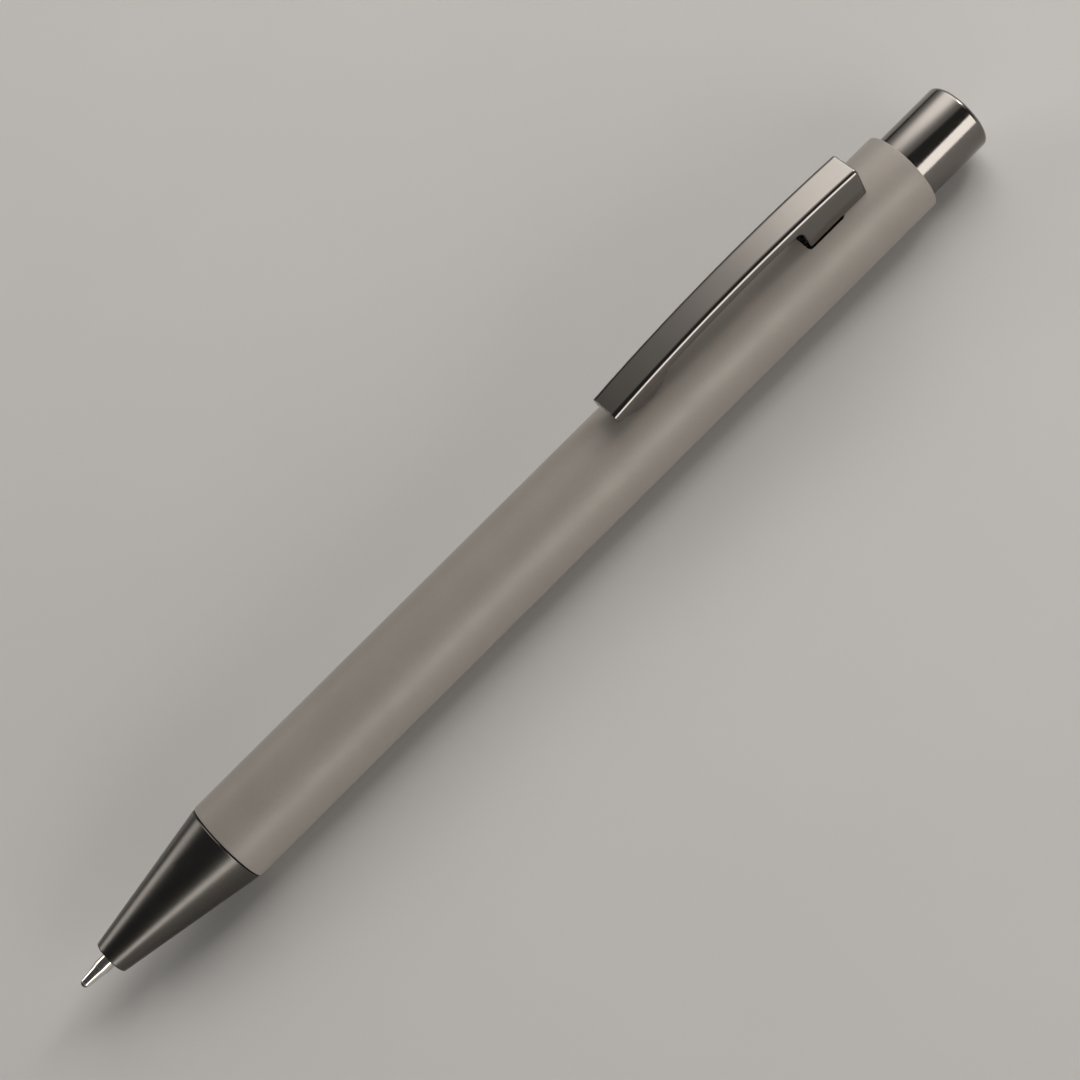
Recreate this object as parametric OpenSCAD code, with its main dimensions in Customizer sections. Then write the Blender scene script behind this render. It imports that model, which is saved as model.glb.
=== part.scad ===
// Retractable ballpoint pen, lying along X with its point towards -X and its clip up.
// Axial places are measured from the barrel's front rim, positive towards the button.
// The pen is drawn with its point out.

/* [Barrel] */
// Outside diameter of the barrel
barrel_d = 10.4; // [10.2:0.1:11.2]
// Length of the barrel tube
barrel_len = 105.5; // [105:0.5:108]
// Wall of the barrel tube
barrel_wall = 0.8; // [0.7:0.05:0.85]

/* [Nose cone] */
// Length of the cone outside the barrel
cone_len = 17.8; // [17.5:0.1:18.5]
// Diameter of the cone at its base
cone_base_d = 10.2; // [10:0.1:10.4]
// Diameter of the cone at its front face
cone_tip_d = 4.3; // [4.2:0.1:4.8]
// Diameter of the hole that the point comes out of
nose_hole_d = 2.3; // [2.1:0.05:2.5]
// Length of the threaded spigot inside the barrel
spigot_len = 7.2; // [6.5:0.1:7.5]
// Pitch of the nose thread
thread_pitch = 0.75; // [0.7:0.05:0.8]

/* [Push button] */
// Diameter of the button
button_d = 8.6; // [8.4:0.05:8.7]
// Length of button standing out of the barrel with the point out
button_reach = 9.2; // [8.5:0.1:10]
// Rounding of the button's rim
button_round = 0.6; // [0.3:0.1:1]

/* [Clip] */
// Width of the clip
clip_w = 4.15; // [3.9:0.05:4.4]
// Length of the clip
clip_len = 37.55; // [36:0.05:39]
// Distance from the clip's rear end to the barrel's rear end
clip_rear_gap = 5.75; // [5.5:0.05:6]
// Height of the clip's top above the pen's axis, where it is highest
clip_top_h = 9.4; // [9.2:0.05:9.6]
// Radius of the clip's arch
clip_arch_r = 192; // [180:1:200]
// Height of the channel's sides
clip_side_h = 1.3; // [1.2:0.05:1.5]
// Sheet thickness of the clip
clip_sheet = 0.6; // [0.5:0.05:0.65]

/* [Refill] */
// Overall length of the refill
refill_len = 98.1; // [97.8:0.1:98.4]
// Diameter of the ink tube
tube_d = 5.9; // [5.8:0.05:6]
// Diameter of the neck inside the spring
neck_d = 3.2; // [3:0.05:3.3]
// Diameter of the point's collar
point_d = 1.84; // [1.7:0.02:1.9]
// Length of point showing in front of the cone
point_out = 4.35; // [4:0.05:4.6]
// Diameter of the writing ball
ball_d = 1.0; // [0.9:0.05:1.05]

/* [Return spring] */
// Wire diameter
wire_d = 0.45; // [0.4:0.05:0.5]
// Mean coil diameter
coil_d = 4.1; // [4.05:0.05:4.2]
// Number of turns, with one closed turn at each end
coil_turns = 11; // [8:1:12]

/* [Click mechanism] */
// Travel of the point from out to in
point_travel = 6; // [5.5:0.1:6]
// Travel left under the button with the point out
press_reserve = 0.4; // [0.3:0.05:0.5]
// Number of slots in the cam sleeve, and of ribs on the rotor
cam_count = 4; // [4:1:4]

/* [Hidden] */
$fn = 96;
cut = 1;           // how far a cutting shape runs past the surface it cuts
play = 0.15;       // small gap between pieces that move past each other

barrel_r = barrel_d / 2;
bore_r = barrel_r - barrel_wall;
edge = 0.15;       // broken edge on turned pieces
hair = 0.01;       // keeps two surfaces from lying exactly on each other

// Nose
cone_base_r = cone_base_d / 2;
cone_tip_r = cone_tip_d / 2;
nose_hole_r = nose_hole_d / 2;
joint_gap = 0.12;  // dark line between the cone and the barrel
relief_r = 3.6;
relief_end = 1.1;
thread_root_r = 3.66;
thread_crest_r = 3.88;
bush_bore_r = 3.95;
bush_crest_r = 3.74;
bush_front = 1;
bush_len = 7;
thread_base = 0.36;
thread_flat = 0.1;
thread_lead = 0.3;  // plain length before the thread's first turn
thread_sides = 24;
spring_bore_r = 2.65;
tube_bore_r = 3.15;
bore_step = 0.9;
ring_sec_r = 0.38;

// Refill
ball_end = -(cone_len + point_out);
ball_r = ball_d / 2;
ball_pos = ball_end + ball_r;
ball_gap = 0.03;
rim_pos = ball_pos - 0.1;
taper_len = 2.2;
collar_pos = rim_pos + taper_len + 0.15;
neck_front = ball_end + 7.15;
point_rear = neck_front + 2.5;
tube_front = ball_end + 24.15;
tube_r = tube_d / 2;
tube_in_r = tube_r - 0.3;
neck_r = neck_d / 2;
neck_flange_r = 2.45;
neck_plug_len = 4;
ink_bore_r = 0.6;
ink_len = 52;
refill_rear = ball_end + refill_len;
crown_len = 2.95;
tube_rear = refill_rear - crown_len;

// Spring
spring_seat = ball_end + 10.15;
spring_end = tube_front - 1;
spring_play = 0.03;

// Click mechanism
rotor_front = refill_rear + 0.05;
rotor_rear = rotor_front + 5.8;
rotor_r = 2.75;
rib_r = 3.7;
cam_bore_r = 3.95;
cam_rib_r = 3.05;
rib_angle = 34;
slot_angle = 46;
tooth_h = 0.8;
crown_in_r = 1.5;
plunger_front = rotor_rear + play;
plunger_rib_front = plunger_front + 0.5;
plunger_rear = plunger_front + 1.75;
cam_front = refill_rear - 0.5;
cam_rib_front = rotor_rear + 0.2;
shoulder = plunger_rear + point_travel + 0.2;
stem_r = 1.8;
stem_bore_r = 1.9;

// Clip
clip_rear = barrel_len - clip_rear_gap;
clip_front = clip_rear - clip_len;
clip_peak = clip_rear - 14.75;
arch_centre_h = clip_top_h - clip_arch_r;
bend_r = clip_sheet + 0.1;   // outside radius of the bends along the clip's sides
flange_seat_r = barrel_r + 0.05;
foot_front = clip_rear - 8.75;
foot_rear = clip_rear - 3.85;
foot_bottom = 2.85;
hook_top = 3.1;
hook_in = 0.45;
corner_r = 1.1;
flange_low = 4.5;
end_overrun = 1;   // degrees of arch cut off square at the clip's rear end
foot_gap = 0.175;
slot_front = foot_front - 0.35;
slot_rear = foot_rear + 0.3;
slot_half_w = clip_w / 2 + foot_gap;
pocket_floor = 2.6;
boss_len = 7.8;
boss_bottom = barrel_r + 0.15;
boss_r = 5;
boss_w = clip_w - 0.5;
anchor_front = slot_front - 0.3;
anchor_rear = slot_rear + 0.35;
anchor_half_w = clip_w / 2 - clip_sheet - foot_gap;
anchor_bottom = 3.75;
anchor_top = 4.2;

// Button
sleeve_rear = slot_rear + 0.85;
button_front = sleeve_rear + press_reserve + 0.1;
button_end = barrel_len + button_reach;
button_r = button_d / 2;
button_wall = 0.5;
button_in_r = button_r - button_wall;
button_roof = 0.9;
core_len = 11;
core_start = button_front + 0.1;
stem_grip = 5;

// Places the pen: its axis along X, level with the barrel's radius, centred end to end.
mid_x = (ball_end + button_end) / 2;

// Local Z runs along the pen, local Y is up, local X is across.
module along_pen() { translate([-mid_x, 0, barrel_r]) rotate([90, 0, 90]) children(); }

// Side view outline in the upright plane, X along the pen and Y up, given a width across.
module from_side(width) {
    translate([-mid_x, 0, barrel_r]) rotate([90, 0, 0]) linear_extrude(width, center = true) children();
}

// A tube between two axial places.
module ring(outer_r, inner_r, from, to) {
    translate([0, 0, from]) difference() {
        cylinder(r = outer_r, h = to - from);
        translate([0, 0, -cut]) cylinder(r = inner_r, h = to - from + 2 * cut);
    }
}

// A solid disc or rod between two axial places.
module rod(radius, from, to) { translate([0, 0, from]) cylinder(r = radius, h = to - from); }

// One rib: a sector of a ring, centred on an angle.
module rib(inner_r, outer_r, from, to, centre, width) {
    rotate([0, 0, centre - width / 2]) rotate_extrude(angle = width)
        translate([inner_r, from]) square([outer_r - inner_r, to - from]);
}

// A prism with its outline in the tangent and axial directions, run outwards along one angle.
module radial_prism(centre, from_r, to_r) {
    rotate([0, 0, centre]) translate([from_r, 0, 0]) rotate([90, 0, 90])
        linear_extrude(to_r - from_r) children();
}

// V notches round an end face; side is 1 where the solid lies below the face, -1 above.
module notches(count, at, depth, outer_r, side) {
    half = outer_r * sin(180 / count);
    for (i = [0 : count - 1])
        radial_prism(i * 360 / count, 0, outer_r + cut)
            polygon([[-half, at + side * hair], [0, at - side * depth], [half, at + side * hair]]);
}

// Points round one cross-section of a helix, drawn as an outline in radius and height.
function helix_ring(outline, angle, rise) =
    [for (p = outline) [p[0] * cos(angle), p[0] * sin(angle), p[1] + rise]];

// A solid swept along a helix. rises is a list of heights, one per ring.
module helix(outline, sides, rises) {
    n = len(outline);
    rings = len(rises);
    points = [for (i = [0 : rings - 1]) each helix_ring(outline, i * 360 / sides, rises[i])];
    walls = [for (i = [0 : rings - 2]) for (j = [0 : n - 1])
        [i * n + j, i * n + (j + 1) % n, (i + 1) * n + (j + 1) % n, (i + 1) * n + j]];
    caps = [[for (j = [n - 1 : -1 : 0]) j], [for (j = [0 : n - 1]) (rings - 1) * n + j]];
    polyhedron(points, concat(walls, caps), convexity = 10);
}

// A thread ridge from root_r to crest_r, outwards or inwards. It stands a hair clear of its
// root, so that it stays a closed solid of its own beside the turned piece that carries it.
module thread_ridge(root_r, crest_r, from, length) {
    flip = root_r > crest_r ? -1 : 1;
    foot_r = flip > 0 ? root_r / cos(180 / thread_sides) + hair : root_r - hair;
    outline = [[foot_r, -flip * thread_base / 2], [crest_r, -flip * thread_flat / 2],
        [crest_r, flip * thread_flat / 2], [foot_r, flip * thread_base / 2]];
    rings = floor(length / thread_pitch * thread_sides);
    helix(outline, thread_sides, [for (i = [0 : rings]) from + i * thread_pitch / thread_sides]);
}

module barrel_tube() {
    color([0.53, 0.50, 0.47]) difference() {
        along_pen() rotate_extrude() polygon([
            [bore_r, 0], [barrel_r - edge, 0], [barrel_r, edge],
            [barrel_r, barrel_len - edge], [barrel_r - edge, barrel_len], [bore_r, barrel_len]]);
        from_side(2 * slot_half_w) translate([slot_front, 0])
            square([slot_rear - slot_front, barrel_r + cut]);
    }
}

module front_bush() {
    color([0.72, 0.6, 0.36]) along_pen() union() {
        ring(bore_r, bush_bore_r, bush_front, bush_front + bush_len);
        thread_ridge(bush_bore_r, bush_crest_r, bush_front + thread_lead + thread_pitch / 2,
            bush_len - 1);
    }
}

module nose_cone() {
    color([0.33, 0.31, 0.29]) along_pen() union() {
        rotate_extrude() polygon([
            [nose_hole_r, -cone_len], [cone_tip_r - edge, -cone_len], [cone_tip_r, edge - cone_len],
            [cone_base_r, -joint_gap - edge], [cone_base_r - edge, -joint_gap],
            [relief_r, -joint_gap], [relief_r, relief_end], [thread_root_r, relief_end + 0.1],
            [thread_root_r, spigot_len - edge], [thread_root_r - edge, spigot_len],
            [tube_bore_r, spigot_len], [tube_bore_r, bore_step + 0.3], [spring_bore_r, bore_step],
            [spring_bore_r, spring_seat], [neck_r + play, spring_seat],
            [neck_r + play, neck_front - 0.6], [nose_hole_r, neck_front - 1.2]]);
        thread_ridge(thread_root_r, thread_crest_r, bush_front + thread_lead + thread_pitch,
            spigot_len - 2.7);
    }
}

module nose_o_ring() {
    color([0.06, 0.06, 0.06]) along_pen() rotate_extrude()
        translate([(relief_r + bore_r) / 2, (relief_end - joint_gap) / 2]) circle(r = ring_sec_r, $fn = 32);
}

module return_spring() {
    sides = 18;
    wire_sides = 8;
    rings = coil_turns * sides;
    low = spring_seat + wire_d / 2 + spring_play;
    high = spring_end - wire_d / 2 - spring_play;
    closed = wire_d + 0.02;
    pitch = (high - low - 2 * closed) / (coil_turns - 2);
    outline = [for (k = [0 : wire_sides - 1])
        [coil_d / 2 + wire_d / 2 * cos(k * 360 / wire_sides), wire_d / 2 * sin(k * 360 / wire_sides)]];
    color([0.75, 0.75, 0.77]) along_pen() helix(outline, sides, [for (i = [0 : rings])
        let (turn = i / sides)
        turn < 1 ? low + turn * closed :
        turn > coil_turns - 1 ? high - (coil_turns - turn) * closed :
        low + closed + (turn - 1) * pitch]);
}

module writing_ball() {
    color([0.2, 0.2, 0.21]) along_pen() translate([0, 0, ball_pos]) sphere(r = ball_r);
}

module ball_point() {
    point_r = point_d / 2;
    rim_r = ball_r + 0.08;
    duct_r = 0.3;
    color([0.82, 0.80, 0.76]) along_pen() difference() {
        rotate_extrude() polygon([
            [0, rim_pos], [rim_r, rim_pos], [point_r - 0.1, rim_pos + taper_len],
            [point_r - 0.1, collar_pos - 0.1], [point_r, collar_pos], [point_r, point_rear],
            [0, point_rear]]);
        translate([0, 0, ball_pos]) sphere(r = ball_r + ball_gap);
        rod(duct_r, ball_pos, point_rear + cut);
    }
}

module refill_neck() {
    color([0.88, 0.88, 0.86]) along_pen() difference() {
        rotate_extrude() polygon([
            [0, neck_front], [neck_r - 0.3, neck_front], [neck_r, neck_front + 0.3],
            [neck_r, spring_end], [neck_flange_r, spring_end], [neck_flange_r, tube_front],
            [tube_in_r, tube_front], [tube_in_r, tube_front + neck_plug_len],
            [0, tube_front + neck_plug_len]]);
        rod(point_d / 2, neck_front - cut, point_rear);
        rod(ink_bore_r, point_rear - cut, tube_front + neck_plug_len + cut);
    }
}

module refill_tube() {
    color([0.78, 0.78, 0.79]) along_pen() ring(tube_r, tube_in_r, tube_front, tube_rear);
}

module ink_column() {
    ink_front = tube_front + neck_plug_len;
    color([0.06, 0.07, 0.2]) along_pen() rod(tube_in_r, ink_front, ink_front + ink_len);
}

module refill_crown() {
    plug_len = 2.5;
    stub_r = 2.3;
    stub_len = 1.35;
    notch_w = 0.6;
    vent_r = 0.5;
    color([0.15, 0.15, 0.16]) along_pen() difference() {
        union() {
            rod(tube_in_r, tube_rear - plug_len, tube_rear);
            rod(tube_r, tube_rear, refill_rear - stub_len);
            rod(stub_r, refill_rear - stub_len, refill_rear);
        }
        rod(vent_r, tube_rear - plug_len - cut, refill_rear + cut);
        for (a = [0, 90]) rotate([0, 0, a])
            translate([-tube_r, -notch_w / 2, refill_rear - stub_len + 0.2])
                cube([2 * tube_r, notch_w, stub_len]);
    }
}

module rotor_cam() {
    rib_start = rotor_front + 1.6;
    ramp_half = 1.4;
    color([0.9, 0.88, 0.82]) along_pen() difference() {
        union() {
            rod(rotor_r + 0.1, rotor_front, rotor_front + 1.2);
            rod(rotor_r, rotor_front, rotor_rear);
            for (i = [0 : cam_count - 1])
                rib(rotor_r - 0.2, rib_r, rib_start, rotor_rear, 90 + i * 360 / cam_count, rib_angle);
        }
        rod(crown_in_r, rotor_rear - 2.5, rotor_rear + cut);
        notches(2 * cam_count, rotor_rear, tooth_h, rotor_r, 1);
        for (i = [0 : cam_count - 1])
            radial_prism(90 + i * 360 / cam_count, rotor_r, rib_r + cut)
                polygon([[-ramp_half, rotor_rear], [ramp_half, rotor_rear - tooth_h],
                    [ramp_half, rotor_rear + cut], [-ramp_half, rotor_rear + cut]]);
    }
}

module plunger() {
    color([0.9, 0.88, 0.82]) along_pen() difference() {
        union() {
            rod(rotor_r, plunger_front, plunger_rear);
            rod(stem_r, plunger_rear - cut, button_front + stem_grip);
            for (i = [0 : cam_count - 1])
                rib(rotor_r - 0.2, rib_r, plunger_rib_front, plunger_rear, 90 + i * 360 / cam_count, rib_angle);
        }
        rod(crown_in_r, plunger_front - cut, plunger_front + tooth_h + 0.2);
        notches(2 * cam_count, plunger_front, tooth_h, rotor_r, -1);
    }
}

module guide_sleeve() {
    pitch_angle = 360 / cam_count;
    cam_angle = pitch_angle - slot_angle;
    step = cam_rib_r * sin(cam_angle / 2);
    color([0.86, 0.85, 0.82]) difference() {
        along_pen() difference() {
            union() {
                ring(bore_r, cam_bore_r, cam_front, shoulder);
                ring(bore_r, stem_bore_r, shoulder, sleeve_rear);
                for (i = [0 : cam_count - 1])
                    rib(cam_rib_r, cam_bore_r + 0.1, cam_rib_front, shoulder + 0.1,
                        90 + (i + 0.5) * pitch_angle, cam_angle);
            }
            for (i = [0 : cam_count - 1])
                radial_prism(90 + (i + 0.5) * pitch_angle, 0, cam_bore_r)
                    polygon([[-2 * step, cam_rib_front - cut], [-2 * step, cam_rib_front + tooth_h],
                        [0, cam_rib_front], [0, cam_rib_front + tooth_h],
                        [2 * step, cam_rib_front - tooth_h], [2 * step, cam_rib_front - cut]]);
        }
        from_side(2 * slot_half_w) translate([slot_front, pocket_floor])
            square([slot_rear - slot_front, barrel_r]);
        from_side(2 * anchor_half_w) translate([anchor_front, anchor_bottom])
            square([anchor_rear - anchor_front, barrel_r]);
    }
}

module button_core() {
    color([0.2, 0.2, 0.21]) along_pen() difference() {
        rod(button_in_r, core_start, core_start + core_len);
        rod(stem_r, core_start - cut, button_front + stem_grip);
    }
}

module push_button() {
    lip = 0.2;
    color([0.36, 0.34, 0.32]) along_pen() difference() {
        rotate_extrude() union() {
            translate([0, button_front + lip])
                square([button_r, button_end - button_front - lip - button_round]);
            translate([0, button_front]) square([button_r - lip, 2 * lip]);
            translate([0, button_end - cut]) square([button_r - button_round, cut]);
            translate([button_r - button_round, button_end - button_round]) intersection() {
                circle(r = button_round, $fn = 48);
                square(button_round);
            }
        }
        rod(button_in_r, button_front - cut, button_end - button_roof);
    }
}

// Height of the clip's top face above the pen's axis.
function arch_h(place) = arch_centre_h + sqrt(pow(clip_arch_r, 2) - pow(place - clip_peak, 2));

// Points round the bend along one side of the clip, as distance from the arch's centre and
// place across. side is -1 or 1.
function bend_points(side) = [for (k = [0 : 5])
    let (turn = side < 0 ? k * 18 : 90 - k * 18)
    [clip_arch_r - bend_r + bend_r * sin(turn), side * (clip_w / 2 - bend_r + bend_r * cos(turn))]];

// The clip's arch starts behind its peak and ends in front of it.
module clip_channel() {
    start = asin((clip_rear - clip_peak) / clip_arch_r) + end_overrun;
    finish = asin((clip_peak - clip_front) / clip_arch_r);
    half = clip_w / 2;
    low = clip_arch_r - clip_side_h;
    roof = clip_arch_r - clip_sheet;
    translate([clip_peak - mid_x, 0, barrel_r + arch_centre_h]) rotate([90, 0, 0])
        rotate([0, 0, 90 - start]) rotate_extrude(angle = start + finish, $fn = 720) polygon([
            [low, -half], each bend_points(-1), each bend_points(1), [low, half],
            [low, half - clip_sheet], [roof, half - clip_sheet],
            [roof, clip_sheet - half], [low, clip_sheet - half]]);
}

// Side outline of the root: a flange on the barrel and the foot that goes through the slot.
module clip_root_outline() {
    top = clip_top_h - clip_side_h + 0.1;
    corner_x = foot_front - corner_r;
    low = arch_h(corner_x) - clip_side_h;
    fillet = [for (turn = [80 : -10 : 0])
        [corner_x + corner_r * cos(turn), low - corner_r + corner_r * sin(turn)]];
    polygon([[corner_x, top], [corner_x, low + 3 * hair], each fillet, [foot_front, foot_bottom],
        [foot_rear, foot_bottom], [foot_rear, flange_low], [clip_rear, flange_low],
        [clip_rear, top]]);
}

module clip() {
    boss_front = clip_front + 0.2;
    boss_top = arch_h(clip_front) - clip_sheet + 0.1;
    color([0.38, 0.36, 0.33]) union() {
        intersection() {
            clip_channel();
            from_side(clip_w + cut) translate([clip_front - cut, 0])
                square([clip_rear - clip_front + cut, clip_top_h + cut]);
        }
        difference() {
            from_side(clip_w) clip_root_outline();
            from_side(clip_w - 2 * clip_sheet) translate([foot_front - 2, 0])
                square([clip_rear - foot_front + 2 - clip_sheet, clip_top_h]);
            // The flanges behind the foot sit on the barrel.
            intersection() {
                along_pen() rod(flange_seat_r, foot_rear, clip_rear + cut);
                from_side(clip_w + 2 * cut) translate([foot_rear, 0])
                    square([clip_rear - foot_rear + cut, barrel_r + cut]);
            }
        }
        // Inward hooks at the bottom of the foot.
        difference() {
            from_side(clip_w - 0.2) translate([foot_front, foot_bottom])
                square([foot_rear - foot_front, hook_top - foot_bottom]);
            from_side(clip_w - 2 * clip_sheet - 2 * hook_in) translate([foot_front - cut, 0])
                square([foot_rear - foot_front + 2 * cut, hook_top + cut]);
        }
        // Half-moon boss under the free end.
        from_side(boss_w) intersection() {
            translate([boss_front + boss_len / 2, boss_bottom + boss_r]) circle(r = boss_r);
            translate([boss_front, 0]) square([boss_len, boss_top]);
        }
    }
}

module clip_anchor() {
    color([0.6, 0.6, 0.62]) from_side(2 * anchor_half_w) translate([anchor_front, anchor_bottom])
        square([anchor_rear - anchor_front, anchor_top - anchor_bottom]);
}

barrel_tube();
front_bush();
nose_cone();
nose_o_ring();
return_spring();
writing_ball();
ball_point();
refill_neck();
refill_tube();
ink_column();
refill_crown();
rotor_cam();
plunger();
guide_sleeve();
button_core();
push_button();
clip();
clip_anchor();
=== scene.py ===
"""A retractable ballpoint pen, lying along X with its point towards -X and its clip up.

Lengths in the functions below are in millimetres, as places along the pen from the barrel's
front rim and heights above its axis. at() turns them into metres in the shared frame.
"""

import math

import bmesh
import bpy
from mathutils import Matrix, Vector


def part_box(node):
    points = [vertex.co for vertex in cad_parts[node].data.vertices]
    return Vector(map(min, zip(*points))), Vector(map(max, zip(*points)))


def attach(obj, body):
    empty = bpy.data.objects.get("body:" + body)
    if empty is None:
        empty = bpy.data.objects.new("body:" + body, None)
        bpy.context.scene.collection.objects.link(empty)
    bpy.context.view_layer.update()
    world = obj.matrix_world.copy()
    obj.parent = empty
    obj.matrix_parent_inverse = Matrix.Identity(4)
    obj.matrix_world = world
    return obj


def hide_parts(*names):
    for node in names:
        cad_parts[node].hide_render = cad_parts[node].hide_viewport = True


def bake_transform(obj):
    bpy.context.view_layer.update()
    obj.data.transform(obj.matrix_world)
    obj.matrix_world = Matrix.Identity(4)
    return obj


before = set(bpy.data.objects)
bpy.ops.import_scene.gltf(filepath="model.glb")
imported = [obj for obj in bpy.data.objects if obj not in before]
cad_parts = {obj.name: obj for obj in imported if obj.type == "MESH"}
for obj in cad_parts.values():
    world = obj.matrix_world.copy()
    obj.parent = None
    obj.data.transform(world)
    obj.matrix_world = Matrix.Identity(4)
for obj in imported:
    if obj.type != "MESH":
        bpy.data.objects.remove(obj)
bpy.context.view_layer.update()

MM = 0.001

# ---------------------------------------------------------------- sizes from the frame

RIM_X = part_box("barrel_tube")[0].x
AXIS_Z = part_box("barrel_tube")[1].y


def span(node):
    """The places where a CAD node starts and ends, in mm along the pen."""
    low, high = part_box(node)
    return (low.x - RIM_X) / MM, (high.x - RIM_X) / MM


def radius(node):
    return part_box(node)[1].y / MM


def height(node):
    """A CAD node's top, in mm above the pen's axis."""
    return (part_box(node)[1].z - AXIS_Z) / MM


def at(place, across, up):
    return Vector((RIM_X + place * MM, across * MM, AXIS_Z + up * MM))


EDGE = 0.15                # broken edge on turned pieces
CONE_GAP = 0.12            # dark line between the cone and the barrel
NECK_R = 1.6               # the refill's neck, where it carries the spring
NECK_PLAY = 0.15           # room round that neck in the cone
SPRING_PLAY = 0.03         # room at each end of the spring
ANCHOR_LAP = (0.3, 0.35)   # how far the clip's anchor reaches past its slot, front and rear
FOOT_PLAY = (0.35, 0.3)    # room in the slot before and behind the clip's foot
FOOT_GAP = 0.175           # room in the slot on each side of the clip
SLOT_CORNER = 0.45
SHARP = 35                 # edges that turn by more degrees than this stay sharp

BARREL_R = radius("barrel_tube")
BARREL_END = span("barrel_tube")[1]
BORE_R = radius("front_bush")
CLIP_FRONT, CLIP_REAR = span("clip")
CLIP_HALF = radius("clip")
CLIP_TOP = height("clip")
SLOT_FRONT = span("clip_anchor")[0] + ANCHOR_LAP[0]
SLOT_REAR = span("clip_anchor")[1] - ANCHOR_LAP[1]
SLOT_HALF = CLIP_HALF + FOOT_GAP

# ---------------------------------------------------------------- mesh helpers


def shade(mesh, sharp=SHARP):
    mesh.shade_smooth()
    mesh.set_sharp_from_angle(angle=math.radians(sharp))


def build(name, points, faces, sharp=SHARP):
    """An object from points and faces, with doubled points joined and sharp edges marked."""
    mesh = bpy.data.meshes.new(name)
    mesh.from_pydata([tuple(p) for p in points], [], faces)
    shape = bmesh.new()
    shape.from_mesh(mesh)
    bmesh.ops.remove_doubles(shape, verts=shape.verts, dist=1e-7)
    bmesh.ops.dissolve_degenerate(shape, edges=shape.edges, dist=1e-8)
    bmesh.ops.recalc_face_normals(shape, faces=shape.faces)
    shape.to_mesh(mesh)
    shape.free()
    shade(mesh, sharp)
    obj = bpy.data.objects.new(name, mesh)
    bpy.context.scene.collection.objects.link(obj)
    return obj


def arc(place, out, r, start, end, steps=4):
    """Points round a corner centred at (place, out). Angle 0 points along the pen, 90 outwards."""
    turns = [math.radians(start + (end - start) * i / steps) for i in range(steps + 1)]
    return [(place + r * math.cos(t), out + r * math.sin(t)) for t in turns]


def ring_faces(rings, sides, closed=False):
    """Faces between rings of points. closed also joins the last ring to the first."""
    faces = []
    for i in range(rings if closed else rings - 1):
        a, b = i * sides, (i + 1) % rings * sides
        for k in range(sides):
            n = (k + 1) % sides
            faces.append((a + k, a + n, b + n, b + k))
    return faces


def lathe(name, outline, sides=144):
    """A turned piece. The outline starts and ends on the axis, or else closes on itself."""
    points = []
    for place, r in outline:
        for k in range(sides):
            turn = 2 * math.pi * k / sides
            points.append(at(place, r * math.sin(turn), r * math.cos(turn)))
    return build(name, points, ring_faces(len(outline), sides, closed=outline[0][1] > 0))


def tube(name, front, rear, outer, inner, edge=0.05):
    """A tube with its four rims rounded."""
    return lathe(name, arc(front + edge, inner + edge, edge, 270, 180)
                 + arc(front + edge, outer - edge, edge, 180, 90)
                 + arc(rear - edge, outer - edge, edge, 90, 0)
                 + arc(rear - edge, inner + edge, edge, 0, -90))


def helix_points(section, start, pitch_at, turns, steps):
    """Rings of points along a helix. pitch_at(turn) gives the place, section(share) the outline."""
    rings = []
    for i in range(int(turns * steps) + 1):
        turn = i / steps
        angle = 2 * math.pi * turn
        rings.append([at(start + pitch_at(turn) + along, r * math.sin(angle), r * math.cos(angle))
                      for along, r in section(turn / turns)])
    return rings


def skin(rings):
    """Points and faces of a closed bar drawn through rings of points."""
    n = len(rings[0])
    points = [p for ring in rings for p in ring]
    faces = ring_faces(len(rings), n)
    faces.append(tuple(range(n)))
    faces.append(tuple((len(rings) - 1) * n + j for j in range(n)))
    return points, faces


def thread(name, root, crest, start, length, pitch=0.75):
    """A thread ridge that fades in and out at its ends. It is inward where crest is under root."""
    base, flat, fade, rings_a_turn = 0.36, 0.1, 0.08, 64
    sunk = root - 0.05 if crest > root else root + 0.05

    def section(share):
        grow = min(1, share / fade, (1 - share) / fade)
        tip = root + (crest - root) * grow
        return [(-base / 2, sunk), (-flat / 2, tip), (flat / 2, tip), (base / 2, sunk)]

    rings = helix_points(section, start, lambda turn: turn * pitch, length / pitch, rings_a_turn)
    return build(name, *skin(rings), sharp=20)


def join(main, *others):
    """Adds other objects' meshes to the first, as closed shells of one piece."""
    shape = bmesh.new()
    for obj in (main, *others):
        shape.from_mesh(obj.data)
    shape.to_mesh(main.data)
    shape.free()
    for obj in others:
        bpy.data.objects.remove(obj)
    return main


def soften(obj, width, angle=50, segments=2):
    """Small rounded edges wherever faces meet more sharply than the angle."""
    bevel = obj.modifiers.new("rounded_edges", "BEVEL")
    bevel.width = width * MM
    bevel.segments = segments
    bevel.limit_method = "ANGLE"
    bevel.angle_limit = math.radians(angle)
    bevel.use_clamp_overlap = True
    shading = obj.modifiers.new("even_shading", "WEIGHTED_NORMAL")
    shading.keep_sharp = True
    return obj


# ---------------------------------------------------------------- materials


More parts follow.
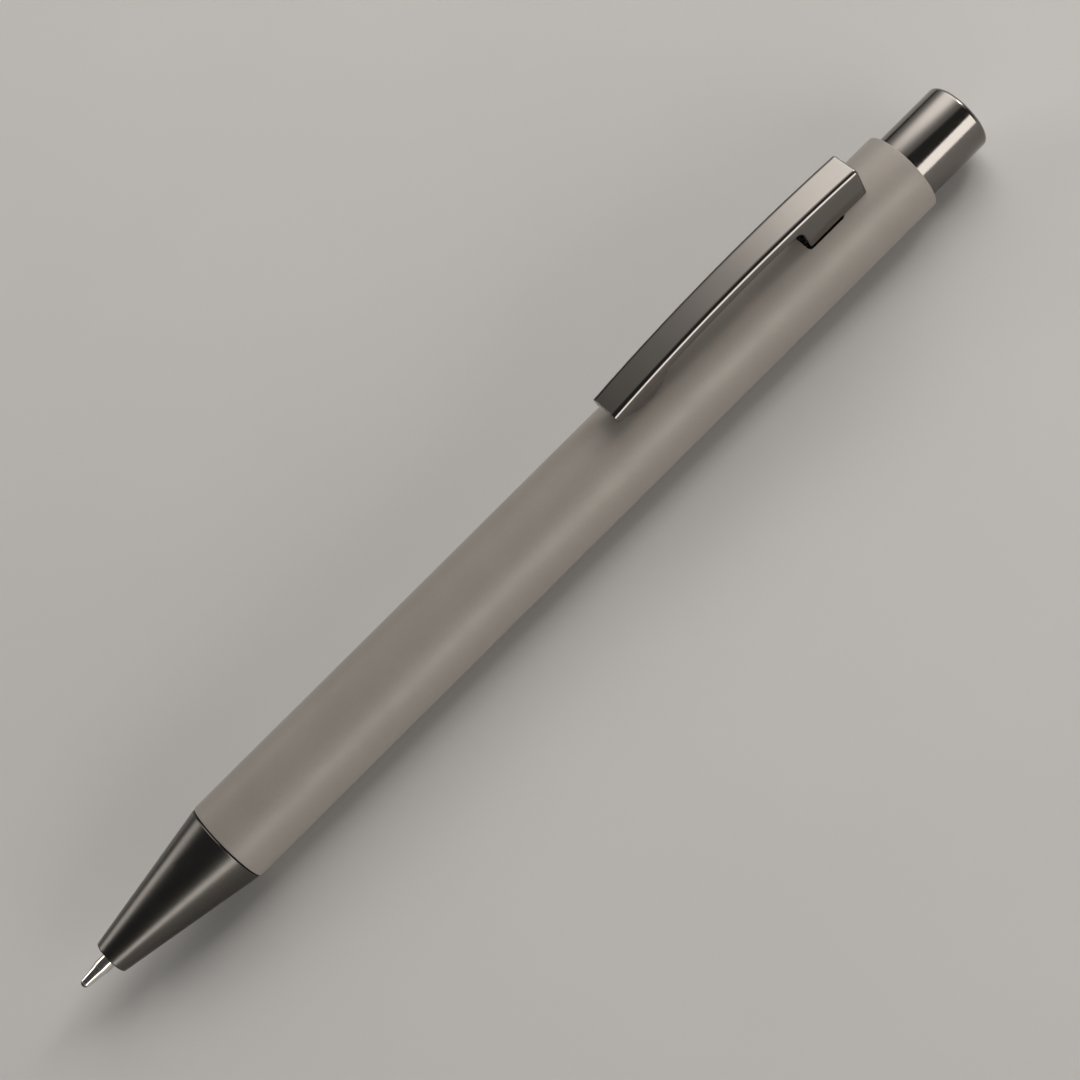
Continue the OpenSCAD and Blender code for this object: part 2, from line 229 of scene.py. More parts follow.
class Finish:
    """A Principled material and the few node shapes that the finishes below share."""

    def __init__(self, name, colour, metallic=0.0, roughness=0.5):
        self.material = bpy.data.materials.new(name)
        self.material.use_nodes = True
        self.tree = self.material.node_tree
        self.shader = self.tree.nodes["Principled BSDF"]
        self.colour = (*colour, 1)
        self.set("Base Color", self.colour)
        self.set("Metallic", metallic)
        self.set("Roughness", roughness)
        self.place = self.tree.nodes.new("ShaderNodeTexCoord").outputs["Object"]
        self.normal = None

    def set(self, socket, value):
        self.shader.inputs[socket].default_value = value

    def link(self, source, target):
        self.tree.links.new(source, target)

    def stretched(self, along, across):
        """Coordinates scaled one way along the pen and another across it."""
        node = self.tree.nodes.new("ShaderNodeMapping")
        node.inputs["Scale"].default_value = (along, across, across)
        self.link(self.place, node.inputs["Vector"])
        return node.outputs["Vector"]

    def noise(self, size, detail=3, vector=None, distortion=0.0):
        """Noise whose spots are about that many millimetres across."""
        node = self.tree.nodes.new("ShaderNodeTexNoise")
        node.inputs["Scale"].default_value = 1 / (size * MM)
        node.inputs["Detail"].default_value = detail
        node.inputs["Distortion"].default_value = distortion
        self.link(vector or self.place, node.inputs["Vector"])
        return node.outputs["Fac"]

    def spread(self, value, low, high, start=0.3, end=0.7):
        """A value from start to end taken to a value from low to high."""
        node = self.tree.nodes.new("ShaderNodeMapRange")
        sockets = ("From Min", "From Max", "To Min", "To Max")
        for socket, number in zip(sockets, (start, end, low, high)):
            node.inputs[socket].default_value = number
        self.link(value, node.inputs["Value"])
        return node.outputs["Result"]

    def vary_colour(self, value, dark, light):
        """Multiplies the colour by dark to light, over what is already there."""
        node = self.tree.nodes.new("ShaderNodeMix")
        node.data_type = "RGBA"
        node.blend_type = "MULTIPLY"
        node.inputs["Factor"].default_value = 1
        base = self.shader.inputs["Base Color"]
        if base.is_linked:
            self.link(base.links[0].from_socket, node.inputs["A"])
        else:
            node.inputs["A"].default_value = self.colour
        grey = self.tree.nodes.new("ShaderNodeCombineColor")
        shade = self.spread(value, dark, light)
        for channel in ("Red", "Green", "Blue"):
            self.link(shade, grey.inputs[channel])
        self.link(grey.outputs["Color"], node.inputs["B"])
        self.link(node.outputs["Result"], base)

    def vary_roughness(self, value, low, high):
        self.link(self.spread(value, low, high), self.shader.inputs["Roughness"])

    def bump(self, value, depth, strength=1.0):
        """Relief of that many millimetres, on top of what is already there."""
        node = self.tree.nodes.new("ShaderNodeBump")
        node.inputs["Strength"].default_value = strength
        node.inputs["Distance"].default_value = depth * MM
        self.link(value, node.inputs["Height"])
        if self.normal:
            self.link(self.normal, node.inputs["Normal"])
        self.normal = node.outputs["Normal"]
        self.link(self.normal, self.shader.inputs["Normal"])


def soft_touch():
    """Warm grey rubbery paint: an even, very fine grain with faint handling marks."""
    f = Finish("soft_touch", (0.272, 0.245, 0.218), roughness=0.5)
    f.set("Sheen Weight", 0.12)
    f.set("Sheen Roughness", 0.4)
    f.set("Metallic", 0.15)
    f.vary_colour(f.noise(6, 4), 0.965, 1.03)
    f.vary_colour(f.noise(0.09, 2), 0.94, 1.06)
    f.vary_roughness(f.noise(2.5, 5), 0.46, 0.56)
    f.bump(f.noise(0.07, 2), 0.004, 0.5)
    return f.material


def gunmetal_satin():
    """Turned gunmetal plating with a satin blast over fine tool lines."""
    f = Finish("gunmetal_satin", (0.122, 0.114, 0.105), metallic=1, roughness=0.3)
    f.set("Anisotropic", 0.35)
    f.vary_colour(f.noise(0.05, 2, f.stretched(1, 0.03)), 0.94, 1.05)
    f.vary_roughness(f.noise(3, 2), 0.285, 0.315)
    f.bump(f.noise(0.05, 2, f.stretched(1, 0.02)), 0.001, 0.4)
    f.bump(f.noise(0.05, 1), 0.0008, 0.3)
    return f.material


def gunmetal_gloss():
    """Polished gunmetal plating with faint lengthwise polish lines and finger haze."""
    f = Finish("gunmetal_gloss", (0.205, 0.191, 0.176), metallic=1, roughness=0.14)
    f.vary_colour(f.noise(4, 3), 0.97, 1.02)
    f.vary_roughness(f.noise(1.6, 6, distortion=0.6), 0.115, 0.155)
    f.bump(f.noise(0.07, 3, f.stretched(0.03, 1)), 0.0006, 0.4)
    return f.material


def brass():
    f = Finish("brass", (0.72, 0.50, 0.22), metallic=1, roughness=0.28)
    f.vary_colour(f.noise(1.5, 4), 0.85, 1.05)
    f.vary_roughness(f.noise(0.8, 4), 0.2, 0.36)
    f.bump(f.noise(0.06, 2, f.stretched(1, 0.02)), 0.003, 0.5)
    return f.material


def rubber():
    f = Finish("rubber", (0.018, 0.018, 0.018), roughness=0.6)
    f.vary_colour(f.noise(0.3, 4), 0.7, 1.3)
    f.vary_roughness(f.noise(0.5, 4), 0.5, 0.7)
    f.bump(f.noise(0.05, 3), 0.004, 0.6)
    return f.material


def spring_steel():
    """Drawn wire and strip, with die lines and a slight straw tint here and there."""
    f = Finish("spring_steel", (0.62, 0.60, 0.57), metallic=1, roughness=0.25)
    f.vary_colour(f.noise(0.9, 4), 0.82, 1.05)
    f.vary_roughness(f.noise(0.25, 4), 0.18, 0.34)
    f.bump(f.noise(0.04, 3), 0.002, 0.5)
    return f.material


def carbide():
    f = Finish("carbide", (0.16, 0.16, 0.17), metallic=1, roughness=0.22)
    f.vary_colour(f.noise(0.03, 2), 0.7, 1.25)
    f.vary_roughness(f.noise(0.05, 3), 0.16, 0.32)
    f.bump(f.noise(0.02, 2), 0.001, 0.5)
    return f.material


def nickel():
    """Bright turned nickel silver: ring lines round the point."""
    f = Finish("nickel", (0.80, 0.765, 0.715), metallic=1, roughness=0.14)
    f.vary_colour(f.noise(0.03, 2, f.stretched(1, 0.03)), 0.9, 1.05)
    f.vary_roughness(f.noise(0.4, 4), 0.10, 0.2)
    f.bump(f.noise(0.03, 2, f.stretched(1, 0.03)), 0.001, 0.5)
    return f.material


def steel_tube():
    f = Finish("steel_tube", (0.58, 0.58, 0.59), metallic=1, roughness=0.26)
    f.vary_colour(f.noise(2.5, 4), 0.9, 1.05)
    f.vary_roughness(f.noise(0.12, 4, f.stretched(0.02, 1)), 0.2, 0.36)
    f.bump(f.noise(0.05, 3, f.stretched(0.01, 1)), 0.002, 0.6)
    return f.material


def ink():
    f = Finish("ink", (0.010, 0.012, 0.05), roughness=0.12)
    f.set("Coat Weight", 0.4)
    f.vary_colour(f.noise(1.4, 5, distortion=1.2), 0.6, 1.4)
    f.vary_roughness(f.noise(0.8, 3), 0.08, 0.2)
    f.bump(f.noise(1.0, 3), 0.01, 0.3)
    return f.material


def moulded(name, colour, roughness, glow=0.0):
    """Moulded plastic: a fine spark-eroded skin and slow changes of shade from the flow."""
    f = Finish(name, colour, roughness=roughness)
    f.set("Subsurface Weight", glow)
    f.set("Subsurface Scale", 0.5 * MM)
    f.vary_colour(f.noise(2.2, 4, distortion=0.8), 0.93, 1.05)
    f.vary_roughness(f.noise(0.4, 4), roughness - 0.07, roughness + 0.08)
    f.bump(f.noise(0.08, 3), 0.004, 0.5)
    return f.material


FINISHES = {
    "soft_touch": soft_touch(),
    "gunmetal_satin": gunmetal_satin(),
    "gunmetal_gloss": gunmetal_gloss(),
    "brass": brass(),
    "rubber": rubber(),
    "spring_steel": spring_steel(),
    "carbide": carbide(),
    "nickel": nickel(),
    "steel_tube": steel_tube(),
    "ink": ink(),
    "white_plastic": moulded("white_plastic", (0.74, 0.74, 0.71), 0.35, 0.1),
    "black_plastic": moulded("black_plastic", (0.022, 0.022, 0.024), 0.38),
    "ivory_plastic": moulded("ivory_plastic", (0.76, 0.72, 0.62), 0.33, 0.1),
}


def finish(obj, slot):
    obj.data.materials.clear()
    obj.data.materials.append(FINISHES[slot])
    return obj


def piece(obj, slot, body, *nodes):
    """Gives a piece its finish, its CAD body and the CAD nodes that it stands for."""
    finish(obj, slot)
    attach(obj, body)
    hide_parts(*nodes)
    return obj


# ---------------------------------------------------------------- barrel


def slot_edge():
    """(place, half width) along the clip's slot from front to rear, with its corners rounded."""
    corner = [(SLOT_CORNER * (1 - math.cos(t)), SLOT_HALF - SLOT_CORNER * (1 - math.sin(t)))
              for t in (math.radians(15 * k) for k in range(7))]
    front = [(SLOT_FRONT + along, half) for along, half in corner]
    return front + [(SLOT_REAR - along, half) for along, half in reversed(corner)]


def barrel():
    """The tube, with the clip's slot left open and equally wide at both radii."""
    across, around = 12, 132   # points on each ring over the slot, and round the rest
    sides = across + around
    rim = 0.08
    slot = slot_edge()
    count = len(slot)
    outline = arc(rim, BORE_R + rim, rim, 270, 180, 3) + arc(EDGE, BARREL_R - EDGE, EDGE, 180, 90)
    outer = len(outline)
    outline += [(place, BARREL_R) for place, _ in slot]
    outline += arc(BARREL_END - EDGE, BARREL_R - EDGE, EDGE, 90, 0)
    outline += arc(BARREL_END - rim, BORE_R + rim, rim, 0, -90, 3)
    inner = len(outline)
    outline += [(place, BORE_R) for place, _ in reversed(slot)]

    halves = [slot[0][1]] * len(outline)
    halves[outer:outer + count] = [half for _, half in slot]
    halves[inner:inner + count] = [half for _, half in reversed(slot)]
    points = []
    for (place, r), slot_half in zip(outline, halves):
        half = math.asin(slot_half / r)
        turns = [-half + 2 * half * k / across for k in range(across)]
        turns += [half + (2 * math.pi - 2 * half) * k / around for k in range(around)]
        points += [at(place, r * math.sin(t), r * math.cos(t)) for t in turns]

    open_rows = {*range(outer, outer + count - 1), *range(inner, inner + count - 1)}
    faces = [face for i, face in enumerate(ring_faces(len(outline), sides, closed=True))
             if i // sides not in open_rows or i % sides >= across]
    outside = [(outer + i) * sides for i in range(count)]
    inside = [(inner + count - 1 - i) * sides for i in range(count)]
    for k in range(across):
        for i in (0, -1):
            faces.append((outside[i] + k, outside[i] + k + 1, inside[i] + k + 1, inside[i] + k))
    for k in (0, across):
        faces += [(outside[i] + k, outside[i + 1] + k, inside[i + 1] + k, inside[i] + k)
                  for i in range(count - 1)]
    piece(build("barrel_shell", points, faces), "soft_touch", "barrel", "barrel_tube")


def front_bush():
    front, rear = span("front_bush")
    bore, crest, lead = 3.95, 3.74, 0.7
    obj = tube("bush_threaded", front, rear, BORE_R - 0.01, bore)
    ridge = thread("bush_ridge", bore, crest, front + lead, rear - front - 2 * lead)
    piece(join(obj, ridge), "brass", "barrel", "front_bush")


# ---------------------------------------------------------------- nose


def nose_cone():
    """The turned cone and its threaded spigot, bored for the spring and the refill."""
    front, rear = span("nose_cone")
    base, tip, hole = radius("nose_cone"), 2.15, 1.15
    relief, relief_end, root, crest = 3.6, 1.1, 3.66, 3.88
    thread_front, thread_gap = 1.9, 0.8
    spring_bore, tube_bore, bore_step = 2.65, 3.15, 0.9
    seat = span("return_spring")[0] - SPRING_PLAY
    neck_bore = NECK_R + NECK_PLAY
    funnel = 0.6
    neck_step = span("refill_neck")[0] - funnel
    lean = math.degrees(math.atan2(base - tip, -front - CONE_GAP))
    nose_round, base_round = 0.22, 0.12
    outline = [(front + 0.05, hole), (front, hole + 0.05)]
    outline += arc(front + nose_round, tip - nose_round, nose_round, 180, 90 + lean, 6)
    outline += arc(-CONE_GAP - base_round, base - base_round, base_round, 90 + lean, 0, 5)
    outline += [(-CONE_GAP, relief + 0.1), (-CONE_GAP + 0.1, relief), (relief_end, relief),
                (relief_end + 0.1, root), (rear - EDGE, root), (rear, root - EDGE),
                (rear, tube_bore + 0.05), (rear - 0.05, tube_bore), (bore_step + 0.3, tube_bore),
                (bore_step, spring_bore), (seat, spring_bore), (seat, neck_bore),
                (neck_step, neck_bore), (neck_step - funnel, hole)]
    obj = lathe("cone_turned", outline)
    ridge = thread("cone_ridge", root, crest, thread_front, rear - thread_gap - thread_front)
    piece(join(obj, ridge), "gunmetal_satin", "nose", "nose_cone")


def nose_ring():
    front, rear = span("nose_o_ring")
    section = (rear - front) / 2
    centre = radius("nose_o_ring") - section
    outline = arc((front + rear) / 2, centre, section, 0, 345, 23)
    piece(lathe("seal_ring", outline), "rubber", "nose_slider", "nose_o_ring")


# ---------------------------------------------------------------- refill


def ball_point():
    """The point: a crimped rim round the ball, a taper and a collar."""
    front, rear = span("ball_point")
    ball_front, ball_rear = span("writing_ball")
    ball_r, centre = (ball_rear - ball_front) / 2, (ball_front + ball_rear) / 2
    collar = radius("ball_point")
    rim, step, taper_end = ball_r + 0.08, collar - 0.1, front + 2.2
    socket, duct = ball_r + 0.03, 0.3
    mouth = math.sqrt(socket ** 2 - (centre - front) ** 2)
    opening = math.degrees(math.acos((front - centre) / socket))
    back = math.degrees(math.asin(duct / socket))
    outline = [(front, mouth), (front, rim - 0.05), (front + 0.05, rim),
               (front + 0.35, rim + 0.02), (taper_end - 0.1, step - 0.02), (taper_end, step),
               (taper_end + 0.05, step)]
    outline += arc(taper_end + 0.25, collar - 0.1, 0.1, 180, 90, 3)
    outline += arc(rear - 0.1, collar - 0.1, 0.1, 90, 0, 3)
    outline += [(rear, duct), (centre + math.sqrt(socket ** 2 - duct ** 2), duct)]
    outline += arc(centre, 0, socket, back, opening, 10)[1:-1]
    piece(lathe("point_tip", outline, 96), "nickel", "refill", "ball_point")
    ball = lathe("point_ball", arc(centre, 0, ball_r, 180, 0, 24), 48)
    piece(ball, "carbide", "ball", "writing_ball")


def refill_neck():
    front, rear = span("refill_neck")
    spring_end = span("return_spring")[1] + SPRING_PLAY
    tube_front = span("refill_tube")[0]
    flange, plug = 2.45, radius("refill_neck")
    point, ink_bore = radius("ball_point"), 0.6
    point_end = span("ball_point")[1]
    outline = ([(front, point + 0.05)] + arc(front + 0.3, NECK_R - 0.3, 0.3, 180, 90)
               + [(spring_end - 0.15, NECK_R), (spring_end, NECK_R + 0.15)]
               + arc(spring_end + 0.08, flange - 0.08, 0.08, 180, 90)
               + arc(tube_front - 0.08, flange - 0.08, 0.08, 90, 0)
               + [(tube_front, plug - 0.01), (rear - 0.2, plug - 0.01), (rear, plug - 0.2),
                  (rear, ink_bore), (point_end, ink_bore), (point_end, point + 0.005),
                  (front + 0.05, point + 0.005)])
    piece(lathe("neck_moulded", outline), "white_plastic", "refill", "refill_neck")


def refill_tube():
    front, rear = span("refill_tube")
    outer, inner = radius("refill_tube"), radius("refill_neck")
    crimps, depth = (front + 2.4, rear - 1.6), 0.06
    outline = arc(front + 0.08, outer - 0.08, 0.08, 180, 90)
    for place in crimps:
        outline += [(place - 0.35, outer), (place - 0.1, outer - depth),
                    (place + 0.1, outer - depth), (place + 0.35, outer)]
    outline += arc(rear - 0.08, outer - 0.08, 0.08, 90, 0)
    outline += [(rear, inner + 0.03), (rear - 0.03, inner), (front + 0.03, inner),
                (front, inner + 0.03)]
    piece(lathe("tube_drawn", outline), "steel_tube", "refill", "refill_tube")


def ink_column():
    """Ink with a hollow meniscus at its free end."""
    front, rear = span("ink_column")
    r = radius("ink_column") - 0.01
    sag, steps = 0.9, 8
    outline = [(front, 0), (front, r)]
    outline += [(rear - sag * (1 - (k / steps) ** 2), r * k / steps) for k in range(steps, -1, -1)]
    piece(lathe("ink_fill", outline, 96), "ink", "refill", "ink_column")


def return_spring():
    """The spring between the barrel and the refill, with closed turns at both ends."""
    front, rear = span("return_spring")
    wire, round_wire, rings_a_turn = 0.225, 12, 36
    coil = radius("return_spring") - wire
    turns, closed = 11, 2 * wire + 0.02
    low, high = front + wire, rear - wire
    pitch = (high - low - 2 * closed) / (turns - 2)

    def place(turn):
        if turn < 1:
            return turn * closed
        if turn > turns - 1:
            return high - low - (turns - turn) * closed
        return closed + (turn - 1) * pitch

    def section(_):
        return [(wire * math.sin(a), coil + wire * math.cos(a))
                for a in (2 * math.pi * k / round_wire for k in range(round_wire))]

    rings = helix_points(section, low, place, turns, rings_a_turn)
    obj = build("spring_coil", *skin(rings))
    finish(obj, "spring_steel")
    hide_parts("return_spring")
    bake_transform(obj)


# ---------------------------------------------------------------- button


def push_button():
    front, rear = span("push_button")
    r, wall, roof, crown = radius("push_button"), 0.5, 0.9, 0.6
    outline = [(rear, 0)] + arc(rear - crown, r - crown, crown, 0, 90, 8)
    outline += arc(front + 0.2, r - 0.2, 0.2, 90, 180)
    outline += [(front, r - wall + 0.05), (front + 0.05, r - wall), (rear - roof, r - wall),
                (rear - roof, 0)]
    piece(lathe("button_cap", outline), "gunmetal_gloss", "button", "push_button")


def button_core():
    front, rear = span("button_core")
    outer, bore = radius("button_core") - 0.01, 1.8
    stem_end = span("plunger")[1]
    outline = ([(rear, 0)] + arc(rear - 0.2, outer - 0.2, 0.2, 0, 90)
               + arc(front + 0.2, outer - 0.2, 0.2, 90, 180)
               + [(front, bore), (stem_end, bore), (stem_end, 0)])
    piece(lathe("core_moulded", outline), "black_plastic", "button", "button_core")


# ---------------------------------------------------------------- clip

CLIP_ARCH_R = 192                # the long arch of the clip's top face
CLIP_PEAK = CLIP_REAR - 14.75    # where that arch is highest
CLIP_SHEET = 0.6
CLIP_SIDE = 1.3                  # height of the channel's sides
CLIP_BEND = 0.7                  # outside radius of the bends along the sides
INNER_BEND = 0.1
REAR_BEND = 0.28                 # roll of the rear wall's outer edge
FOOT_FRONT = SLOT_FRONT + FOOT_PLAY[0]
FOOT_REAR = SLOT_REAR - FOOT_PLAY[1]
FOOT_BOTTOM = 2.85
FOOT_CORNER = 1.1                # inside radius from the channel's side down to the foot
SADDLE_R = BARREL_R + 0.05


def arch(place):
    """Height of the clip's top face above the pen's axis."""
    return CLIP_TOP - CLIP_ARCH_R + math.sqrt(CLIP_ARCH_R ** 2 - (place - CLIP_PEAK) ** 2)


def saddle(across):
    return math.sqrt(SADDLE_R ** 2 - across ** 2)


def bent_path(half, top, bend, low):
    """(across, up) points over a bent channel, from one bottom edge to the other."""
    steps, flat = 8, 0.03   # a point this far past each bend keeps the flats' shading even
    turns = [math.radians(180 - 90 * k / steps) for k in range(steps + 1)]
    left = [(-half, top - bend - flat)]
    left += [(-half + bend + bend * math.cos(t), top - bend + bend * math.sin(t)) for t in turns]
    left.append((-half + bend + flat, top))
    right = [(-across, up) for across, up in reversed(left)]
    return [(-half, low), *left, *right, (half, low)]


def clip_stations():
    """(place, bottom at the outer face, bottom at the inner face) from the free end to the rear."""
    along, corner, foot, flange = 44, 8, 6, 4   # steps in each stretch
    start = FOOT_FRONT - FOOT_CORNER
    low = arch(start) - CLIP_SIDE
    stations = []
    for i in range(along + 1):
        place = CLIP_FRONT + (start - CLIP_FRONT) * i / along
        stations.append((place, arch(place) - CLIP_SIDE, arch(place) - CLIP_SIDE))
    for i in range(1, corner + 1):
        turn = math.radians(90 * i / corner)
        up = low - FOOT_CORNER * (1 - math.cos(turn))
        stations.append((start + FOOT_CORNER * math.sin(turn), up, up))
    for i in range(foot + 1):
        place = FOOT_FRONT + (FOOT_REAR - FOOT_FRONT) * i / foot
        stations.append((place, FOOT_BOTTOM, FOOT_BOTTOM))
    wall = CLIP_REAR - CLIP_SHEET
    for i in range(flange + 1):
        place = FOOT_REAR + (wall - FOOT_REAR) * i / flange
        stations.append((place, saddle(CLIP_HALF), saddle(CLIP_HALF - CLIP_SHEET)))
    return stations


def sheet_faces(first, rows, n):
    """Faces over rows of n points each, numbered on from first."""
    return [(a + j, a + j + 1, a + n + j + 1, a + n + j)
            for a in (first + i * n for i in range(rows - 1)) for j in range(n - 1)]


def clip():
    """One bent sheet: a channel along the arch, root flanges, a foot and a closed rear wall."""
    inner = CLIP_HALF - CLIP_SHEET
    stations = clip_stations()
    outer_rings, inner_rings = [], []
    for place, low_out, low_in in stations:
        top = arch(place)
        outer_rings.append([at(place, *p) for p in bent_path(CLIP_HALF, top, CLIP_BEND, low_out)])
        path = bent_path(inner, top - CLIP_SHEET, INNER_BEND, low_in)
        inner_rings.append([at(place, *p) for p in path])
    end = bent_path(CLIP_HALF, arch(CLIP_REAR), CLIP_BEND, saddle(CLIP_HALF))
    outer_rings.append([at(CLIP_REAR, *p) for p in end])
    n, rows = len(end), len(outer_rings)
    points = [p for ring in outer_rings + inner_rings for p in ring]
    base = rows * n
    faces = sheet_faces(0, rows, n) + sheet_faces(base, rows - 1, n)
    faces += [(j, j + 1, base + j + 1, base + j) for j in range(n - 1)]
    for j in (0, n - 1):
        faces += [(i * n + j, (i + 1) * n + j, base + (i + 1) * n + j, base + i * n + j)
                  for i in range(rows - 2)]
    # The saddle runs under the rear wall, from one flange to the other.
    steps = 8
    saddle_front, saddle_rear = [], []
    for i in range(steps + 1):
        across = -inner + 2 * inner * i / steps
        saddle_front.append(len(points))
        points.append(at(stations[-1][0], across, saddle(across)))
        saddle_rear.append(len(points))
        points.append(at(CLIP_REAR, across, saddle(across)))
    faces += [(saddle_front[i], saddle_front[i + 1], saddle_rear[i + 1], saddle_rear[i])
              for i in range(steps)]
    last_in = base + (rows - 2) * n
    wall_out, wall_in = (rows - 2) * n, (rows - 1) * n
    faces.append((wall_out, wall_in, saddle_rear[0], saddle_front[0]))
    faces.append((wall_out + n - 1, wall_in + n - 1, saddle_rear[-1], saddle_front[-1]))
    faces.append(tuple(last_in + j for j in range(n)) + tuple(reversed(saddle_front)))
    faces.append(tuple(wall_in + j for j in range(n)) + tuple(reversed(saddle_rear)))
    obj = build("clip_sheet", points, faces)
    round_rear(obj)
    piece(soften(obj, 0.06), "gunmetal_gloss", "clip", "clip")


def round_rear(obj):
    """Rolls the rear wall's outer edge over, with the same kind of bend as the sides."""
    rear_x, low = at(CLIP_REAR, 0, 0).x, at(0, 0, saddle(CLIP_HALF)).z
    shape = bmesh.new()
    shape.from_mesh(obj.data)

    def rolled(edge):
        """Whether an edge is on the rear wall's outline and isn't part of its saddle."""
        if any(abs(v.co.x - rear_x) > 1e-6 or v.co.z < low - 1e-6 for v in edge.verts):
            return False
        off_saddle = min(abs(v.co.z - at(0, 0, saddle(v.co.y / MM)).z) for v in edge.verts)
        first, second = (v.co.z for v in edge.verts)
        return off_saddle > 1e-5 or abs(first - second) > 1 * MM

    bmesh.ops.bevel(shape, geom=[e for e in shape.edges if rolled(e)], offset=REAR_BEND * MM,
                    segments=5, profile=0.5, affect="EDGES", clamp_overlap=True)
    shape.to_mesh(obj.data)
    shape.free()
    shade(obj.data)


def prism(name, outline, half):
    """A plate across the pen with a side outline of (place, up) points."""
    n = len(outline)
    points = [at(place, side * half, up) for side in (-1, 1) for place, up in outline]
    faces = [tuple(range(n)), tuple(range(n, 2 * n))]
    faces += [(i, (i + 1) % n, n + (i + 1) % n, n + i) for i in range(n)]
    return build(name, points, faces)


def clip_boss():
    """The half-moon under the free end, which slides over cloth and presses on the barrel."""
    r, length, setback, gap, sunk = 5, 7.8, 0.2, 0.15, 0.05
    bottom = BARREL_R + gap
    middle = CLIP_FRONT + setback + length / 2
    top = arch(CLIP_FRONT + 0.3) - CLIP_SHEET + sunk
    half_turn = math.degrees(math.acos((r + bottom - top) / r))
    outline = arc(middle, bottom + r, r, 270 - half_turn, 270 + half_turn, 40)
    obj = prism("clip_boss", outline, CLIP_HALF - 0.25)
    soften(obj, 0.22, 60, 4)
    piece(obj, "gunmetal_gloss", "clip", "clip")


# ---------------------------------------------------------------- stage


def floor():
    """A pale matt floor that rolls up into a low wall all round, far from the pen."""
    flat, bend, wall, sides = 1.6, 0.5, 1.4, 96   # metres, but for the sides
    outline = [(flat * k / 10, 0) for k in range(11)]
    outline += [(flat + bend * math.sin(math.radians(a)), bend - bend * math.cos(math.radians(a)))
                for a in range(9, 91, 9)]
    outline.append((flat + bend, bend + wall))
    turns = [2 * math.pi * k / sides for k in range(sides)]
    points = [Vector((r * math.cos(t), r * math.sin(t), z)) for r, z in outline for t in turns]
    obj = build("floor", points, ring_faces(len(outline), sides))
    f = Finish("floor_matt", (0.53, 0.52, 0.505), roughness=0.85)
    f.vary_colour(f.noise(40, 3), 0.985, 1.01)
    f.bump(f.noise(0.8, 3), 0.01, 0.2)
    obj.data.materials.append(f.material)


def direction(azimuth, elevation):
    """Unit vector from the pen. Azimuth 0 is the camera's side and 90 the button's end."""
    a, e = math.radians(azimuth), math.radians(elevation)
    return Vector((math.sin(a) * math.cos(e), -math.cos(a) * math.cos(e), math.sin(e)))


def soft_box(name, azimuth, elevation, distance, width, tall, radiance, tint):
    """A rectangular area light aimed at the pen."""
    place = distance * direction(azimuth, elevation)
    data = bpy.data.lights.new(name, "AREA")
    data.shape = "RECTANGLE"
    data.size, data.size_y = width, tall
    data.energy = radiance * math.pi * width * tall
    data.color = tint
    lamp = bpy.data.objects.new(name, data)
    lamp.location = place
    lamp.rotation_mode = "QUATERNION"
    lamp.rotation_quaternion = (-place).to_track_quat("-Z", "Y")
    lamp.visible_camera = False
    bpy.context.scene.collection.objects.link(lamp)


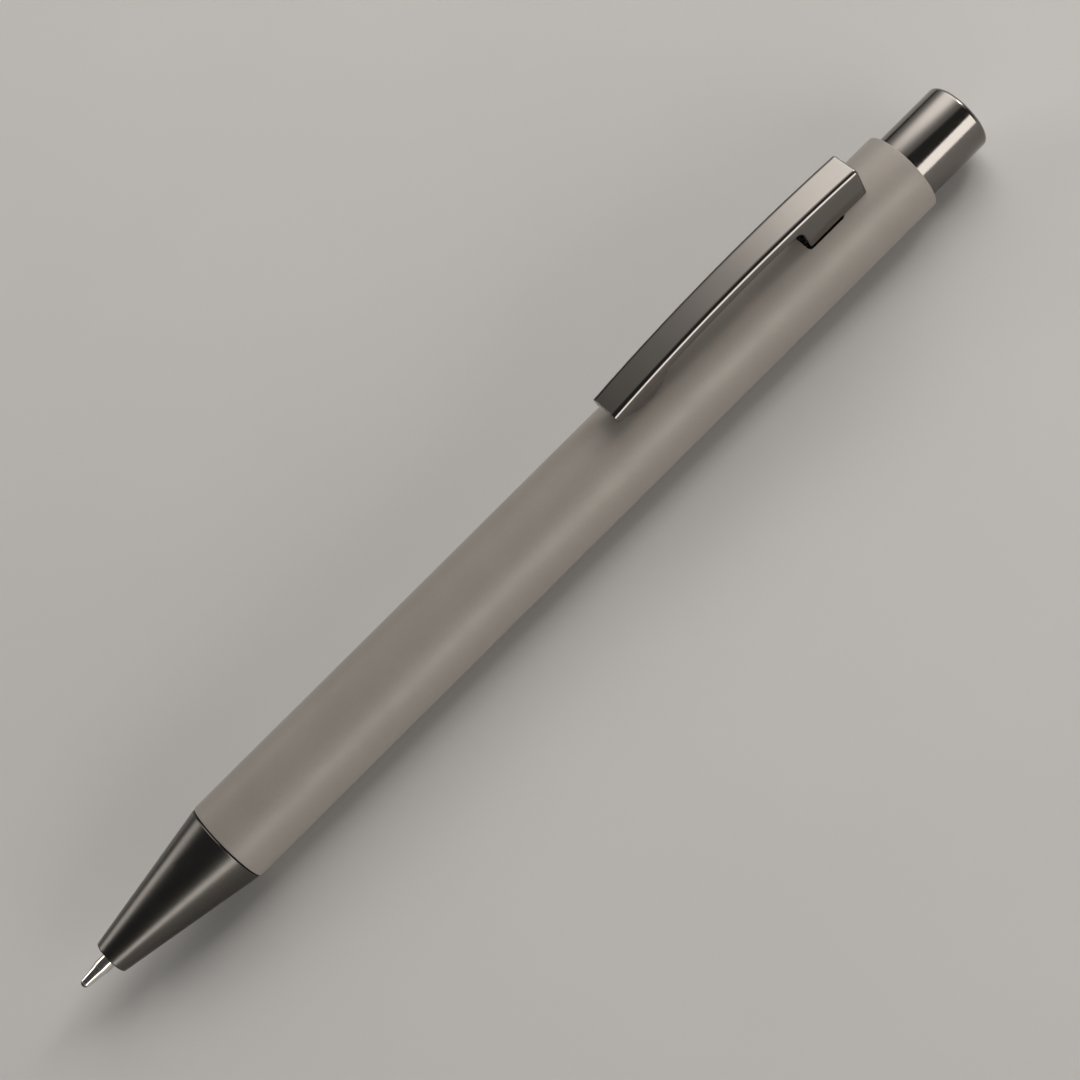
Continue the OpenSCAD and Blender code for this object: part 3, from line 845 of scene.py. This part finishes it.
def graded_dish(name, azimuth, elevation, distance, size, stops, tint):
    """A round glowing panel aimed at the pen, brightest in its middle.

    stops are (share of its radius, radiance) from the middle outwards.
    """
    place = distance * direction(azimuth, elevation)
    bpy.ops.mesh.primitive_circle_add(vertices=64, radius=size, fill_type="TRIFAN")
    dish = bpy.context.object
    dish.name = name
    dish.rotation_mode = "QUATERNION"
    dish.rotation_quaternion = place.to_track_quat("Z", "Y")
    dish.location = place
    dish.visible_camera = False
    glow = bpy.data.materials.new(name)
    glow.use_nodes = True
    tree = glow.node_tree
    tree.nodes.clear()
    spot = tree.nodes.new("ShaderNodeTexCoord")
    reach = tree.nodes.new("ShaderNodeVectorMath")
    reach.operation = "LENGTH"
    share = tree.nodes.new("ShaderNodeMath")
    share.operation = "DIVIDE"
    share.inputs[1].default_value = size
    curve = tree.nodes.new("ShaderNodeValToRGB")
    peak = max(radiance for _, radiance in stops)
    ramp = curve.color_ramp
    ramp.interpolation = "B_SPLINE"
    while len(ramp.elements) < len(stops):
        ramp.elements.new(1)
    for element, (where, radiance) in zip(ramp.elements, stops):
        element.position = where
        element.color = (*(radiance / peak * c for c in tint), 1)
    emission = tree.nodes.new("ShaderNodeEmission")
    emission.inputs["Strength"].default_value = peak
    output = tree.nodes.new("ShaderNodeOutputMaterial")
    tree.links.new(spot.outputs["Object"], reach.inputs[0])
    tree.links.new(reach.outputs["Value"], share.inputs[0])
    tree.links.new(share.outputs["Value"], curve.inputs["Fac"])
    tree.links.new(curve.outputs["Color"], emission.inputs["Color"])
    tree.links.new(emission.outputs["Emission"], output.inputs["Surface"])
    dish.data.materials.append(glow)


def lights():
    warm = (1.0, 0.975, 0.945)
    graded_dish("key", 121, 41, 0.75, 0.76,
                [(0, 3.4), (0.33, 3.0), (0.44, 1.8), (0.55, 0.92), (0.72, 0.42), (1, 0.27)], warm)
    soft_box("strip_left", -30, 9, 0.8, 0.7, 0.22, 3.2, warm)
    soft_box("strip_right", 14, 16, 0.8, 0.6, 0.40, 3.9, warm)
    soft_box("nose_side", 212, 29, 0.8, 0.45, 0.30, 2.7, warm)
    soft_box("button_end", 98, 34, 0.8, 0.36, 0.36, 9.0, warm)
    world = bpy.data.worlds.new("studio")
    world.use_nodes = True
    world.node_tree.nodes["Background"].inputs["Color"].default_value = (0.06, 0.06, 0.06, 1)
    bpy.context.scene.world = world


def camera():
    """The photograph's view: from above, a little to the point's side, rolled so the pen climbs."""
    back = direction(-5, 54.28)
    roll = math.radians(-40.75)
    aim, distance = Vector((0.00132, -0.00081, 0.0052)), 0.25132   # metres
    data = bpy.data.cameras.new("camera")
    data.lens = 75.9
    data.sensor_width = 36
    data.clip_start = 0.01
    obj = bpy.data.objects.new("camera", data)
    upright = (-back).to_track_quat("-Z", "Y").to_matrix()
    turned = (upright @ Matrix.Rotation(roll, 3, "Z")).to_4x4()
    obj.matrix_world = Matrix.Translation(aim + distance * back) @ turned
    bpy.context.scene.collection.objects.link(obj)
    bpy.context.scene.camera = obj


# ---------------------------------------------------------------- the pen

barrel()
front_bush()
nose_cone()
nose_ring()
ball_point()
refill_neck()
refill_tube()
ink_column()
return_spring()
push_button()
button_core()
clip()
clip_boss()

# These keep the frame's own shape, with their edges rounded.
for name in ("guide_sleeve", "rotor_cam", "plunger"):
    finish(soften(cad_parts[name], 0.06), "ivory_plastic")
finish(soften(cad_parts["refill_crown"], 0.06), "black_plastic")
finish(soften(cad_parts["clip_anchor"], 0.08), "spring_steel")

floor()
lights()
camera()
bpy.context.scene.view_settings.view_transform = "Standard"
